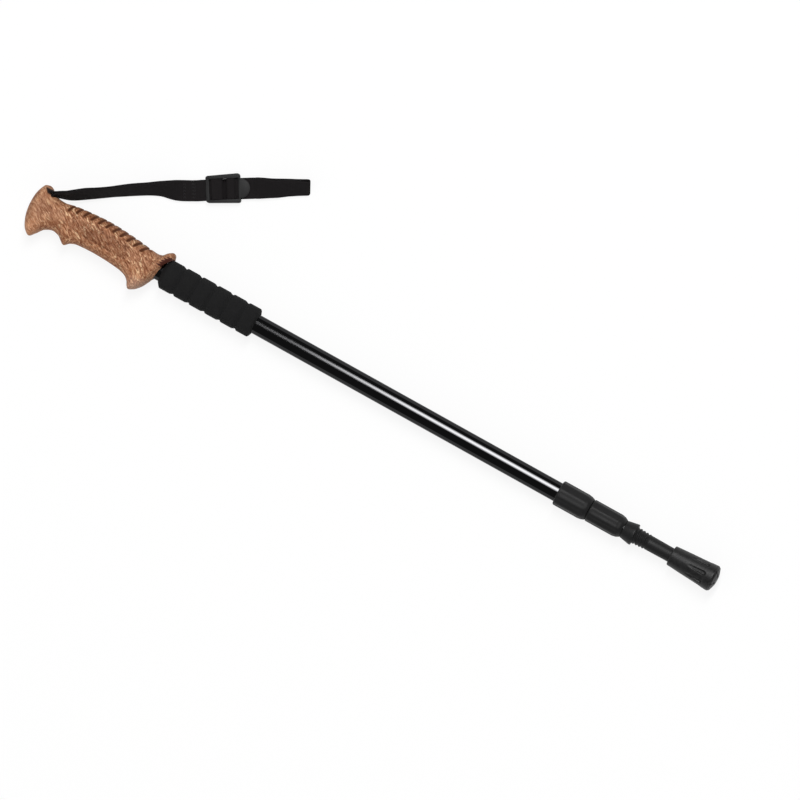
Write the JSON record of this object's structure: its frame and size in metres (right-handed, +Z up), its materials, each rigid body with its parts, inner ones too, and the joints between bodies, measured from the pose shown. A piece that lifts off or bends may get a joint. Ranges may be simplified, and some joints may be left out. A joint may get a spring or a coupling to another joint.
{
  "type": "telescopic walking stick",
  "caption": "Telescopic walking stick with a marbled shaped grip, a foam sleeve, twist-lock collars, a rubber foot and an adjustable wrist strap, collapsed and lying on its side.",
  "frame": {"origin": "centre of the rubber foot's sole, on the shaft's axis", "axes": "+X runs up the stick to its head, +Y to the finger side of the grip (the strap is on the -Y side), +Z up from the surface the stick lies on"},
  "size_m": [0.7033, 0.166, 0.0328],
  "materials": {
    "marbled_cork": "moulded cork-look plastic, marbled brown with lighter streaks",
    "black_anodised": "smooth glossy black on aluminium tube",
    "black_plastic": "satin black moulded plastic",
    "buckle_plastic": "satin dark grey moulded plastic",
    "foam": "matte black closed-cell foam",
    "rubber": "matte black rubber",
    "webbing": "woven black polyester webbing",
    "zinc_steel": "zinc-plated steel",
    "carbide": "ground hard metal",
    "brass": "turned brass",
    "white_nylon": "natural nylon"
  },
  "bodies": {
    "upper_section": {"grip": "marbled_cork", "strap_pin": "zinc_steel", "strap_root": "webbing", "top_plug": "black_plastic", "foam_sleeve": "foam", "upper_tube": "black_anodised", "upper_collar": "black_plastic"},
    "middle_lock": {"middle_expander": "white_nylon"},
    "middle_cone": {"middle_cone_nut": "brass"},
    "middle_section": {"middle_tube": "black_anodised", "middle_end_plug": "black_plastic", "middle_stud": "zinc_steel", "middle_stop_nut": "zinc_steel", "middle_collar": "black_plastic"},
    "lower_lock": {"lower_expander": "white_nylon"},
    "lower_cone": {"lower_cone_nut": "brass"},
    "lower_section": {"lower_tube": "black_anodised", "lower_end_plug": "black_plastic", "lower_stud": "zinc_steel", "lower_stop_nut": "zinc_steel", "tip_ferrule": "black_plastic", "hard_tip": "carbide"},
    "foot": {"rubber_foot": "rubber", "foot_washer": "zinc_steel"},
    "strap": {"strap_sewn_run": "webbing", "strap_adjusting_run": "webbing", "buckle": "buckle_plastic"}
  },
  "joints": [
    {"name": "middle_extend", "type": "slide", "parent": "upper_section", "child": "middle_lock", "axis": [-1, 0, 0], "range_m": [0, 0.33]},
    {"name": "middle_twist", "type": "hinge", "parent": "middle_lock", "child": "middle_section", "pos_m": [0.35, 0, 0], "axis": [1, 0, 0], "range_deg": [0, 540]},
    {"name": "middle_cone_travel", "type": "slide", "parent": "middle_lock", "child": "middle_cone", "axis": [-1, 0, 0], "range_m": [0, 0.003]},
    {"name": "lower_extend", "type": "slide", "parent": "middle_section", "child": "lower_lock", "axis": [-1, 0, 0], "range_m": [0, 0.317]},
    {"name": "lower_twist", "type": "hinge", "parent": "lower_lock", "child": "lower_section", "pos_m": [0.3, 0, 0], "axis": [1, 0, 0], "range_deg": [0, 540]},
    {"name": "lower_cone_travel", "type": "slide", "parent": "lower_lock", "child": "lower_cone", "axis": [-1, 0, 0], "range_m": [0, 0.003]},
    {"name": "foot_pull_off", "type": "slide", "parent": "lower_section", "child": "foot", "axis": [-1, 0, 0], "range_m": [0, 0.06]},
    {"name": "strap_swing", "type": "hinge", "parent": "upper_section", "child": "strap", "pos_m": [0.68576, -0.01477, 0], "axis": [0, 0, 1], "range_deg": [-15, 80]}
  ],
  "couplings": [
    {"joint": "middle_cone_travel", "follows": "middle_twist", "m_per_rad": 0.00031831},
    {"joint": "lower_cone_travel", "follows": "lower_twist", "m_per_rad": 0.00031831}
  ]
}
